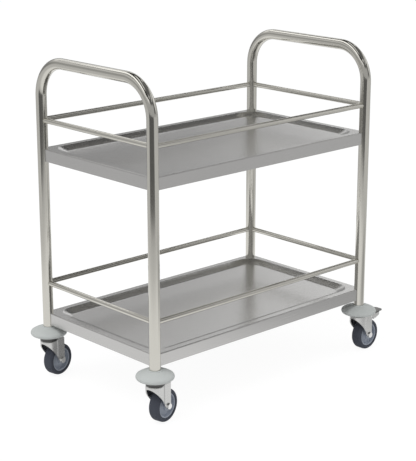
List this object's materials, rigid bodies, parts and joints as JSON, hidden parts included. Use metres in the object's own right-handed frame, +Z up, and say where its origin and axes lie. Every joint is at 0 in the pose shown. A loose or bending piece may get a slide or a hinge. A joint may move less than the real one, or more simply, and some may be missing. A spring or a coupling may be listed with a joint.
{
  "type": "two-tier service trolley",
  "caption": "Stainless-steel two-tier service trolley: bent-tube end frames with handle loops, pressed trays with gallery rails, swivel castors with bumper discs and brakes.",
  "frame": {"origin": "on the floor, midway between the four leg axes", "axes": "+X along the length towards the braked end, +Y from front to back, +Z up"},
  "size_m": [0.7866, 0.465, 0.766],
  "materials": {
    "stainless_tube": "polished stainless-steel tube",
    "stainless_sheet": "brushed stainless-steel sheet",
    "castor_steel": "bright zinc-plated pressed steel",
    "bolt_steel": "bright plated bolt",
    "bumper_plastic": "pale grey moulded plastic, fine grain",
    "insert_plastic": "black moulded plastic",
    "hub_plastic": "blue-grey moulded plastic",
    "tyre_rubber": "dark slate non-marking rubber"
  },
  "bodies": {
    "frame": {"left_end_frame": "stainless_tube", "right_end_frame": "stainless_tube", "upper_tray": "stainless_sheet", "upper_front_rail": "stainless_tube", "upper_back_rail": "stainless_tube", "upper_left_rail": "stainless_tube", "upper_right_rail": "stainless_tube", "lower_tray": "stainless_sheet", "lower_front_rail": "stainless_tube", "lower_back_rail": "stainless_tube", "lower_left_rail": "stainless_tube", "lower_right_rail": "stainless_tube", "bumper_front_left": "bumper_plastic", "leg_insert_front_left": "insert_plastic", "king_bolt_front_left": "castor_steel", "swivel_cup_front_left": "castor_steel", "swivel_balls_front_left": "castor_steel", "bumper_back_left": "bumper_plastic", "leg_insert_back_left": "insert_plastic", "king_bolt_back_left": "castor_steel", "swivel_cup_back_left": "castor_steel", "swivel_balls_back_left": "castor_steel", "bumper_front_right": "bumper_plastic", "leg_insert_front_right": "insert_plastic", "king_bolt_front_right": "castor_steel", "swivel_cup_front_right": "castor_steel", "swivel_balls_front_right": "castor_steel", "bumper_back_right": "bumper_plastic", "leg_insert_back_right": "insert_plastic", "king_bolt_back_right": "castor_steel", "swivel_cup_back_right": "castor_steel", "swivel_balls_back_right": "castor_steel"},
    "castor_front_left": {"fork_front_left": "castor_steel", "axle_bolt_front_left": "bolt_steel", "axle_nut_front_left": "bolt_steel", "axle_sleeve_front_left": "bolt_steel"},
    "wheel_front_left": {"hub_front_left": "hub_plastic", "tyre_front_left": "tyre_rubber"},
    "castor_back_left": {"fork_back_left": "castor_steel", "axle_bolt_back_left": "bolt_steel", "axle_nut_back_left": "bolt_steel", "axle_sleeve_back_left": "bolt_steel"},
    "wheel_back_left": {"hub_back_left": "hub_plastic", "tyre_back_left": "tyre_rubber"},
    "castor_front_right": {"fork_front_right": "castor_steel", "axle_bolt_front_right": "bolt_steel", "axle_nut_front_right": "bolt_steel", "axle_sleeve_front_right": "bolt_steel", "brake_pin_front_right": "bolt_steel"},
    "wheel_front_right": {"hub_front_right": "hub_plastic", "tyre_front_right": "tyre_rubber"},
    "pedal_front_right": {"brake_pedal_front_right": "castor_steel"},
    "castor_back_right": {"fork_back_right": "castor_steel", "axle_bolt_back_right": "bolt_steel", "axle_nut_back_right": "bolt_steel", "axle_sleeve_back_right": "bolt_steel", "brake_pin_back_right": "bolt_steel"},
    "wheel_back_right": {"hub_back_right": "hub_plastic", "tyre_back_right": "tyre_rubber"},
    "pedal_back_right": {"brake_pedal_back_right": "castor_steel"}
  },
  "joints": [
    {"name": "swivel_front_left", "type": "hinge", "parent": "frame", "child": "castor_front_left", "pos_m": [-0.3315, -0.19, 0.0935], "axis": [0, 0, 1], "continuous": true},
    {"name": "roll_front_left", "type": "hinge", "parent": "castor_front_left", "child": "wheel_front_left", "pos_m": [-0.305, -0.18485, 0.0375], "axis": [-0.1908, 0.9816, 0], "continuous": true},
    {"name": "swivel_back_left", "type": "hinge", "parent": "frame", "child": "castor_back_left", "pos_m": [-0.3315, 0.19, 0.0935], "axis": [0, 0, 1], "continuous": true},
    {"name": "roll_back_left", "type": "hinge", "parent": "castor_back_left", "child": "wheel_back_left", "pos_m": [-0.30491, 0.19469, 0.0375], "axis": [-0.1736, 0.9848, 0], "continuous": true},
    {"name": "swivel_front_right", "type": "hinge", "parent": "frame", "child": "castor_front_right", "pos_m": [0.3315, -0.19, 0.0935], "axis": [0, 0, 1], "continuous": true},
    {"name": "roll_front_right", "type": "hinge", "parent": "castor_front_right", "child": "wheel_front_right", "pos_m": [0.35848, -0.18906, 0.0375], "axis": [-0.0349, 0.9994, 0], "continuous": true},
    {"name": "brake_front_right", "type": "hinge", "parent": "castor_front_right", "child": "pedal_front_right", "pos_m": [0.36098, -0.18897, 0.085], "axis": [-0.0349, 0.9994, 0], "range_deg": [0, 8]},
    {"name": "swivel_back_right", "type": "hinge", "parent": "frame", "child": "castor_back_right", "pos_m": [0.3315, 0.19, 0.0935], "axis": [0, 0, 1], "continuous": true},
    {"name": "roll_back_right", "type": "hinge", "parent": "castor_back_right", "child": "wheel_back_right", "pos_m": [0.3583, 0.19329, 0.0375], "axis": [-0.1219, 0.9925, 0], "continuous": true},
    {"name": "brake_back_right", "type": "hinge", "parent": "castor_back_right", "child": "pedal_back_right", "pos_m": [0.36078, 0.19359, 0.085], "axis": [-0.1219, 0.9925, 0], "range_deg": [0, 8]}
  ]
}
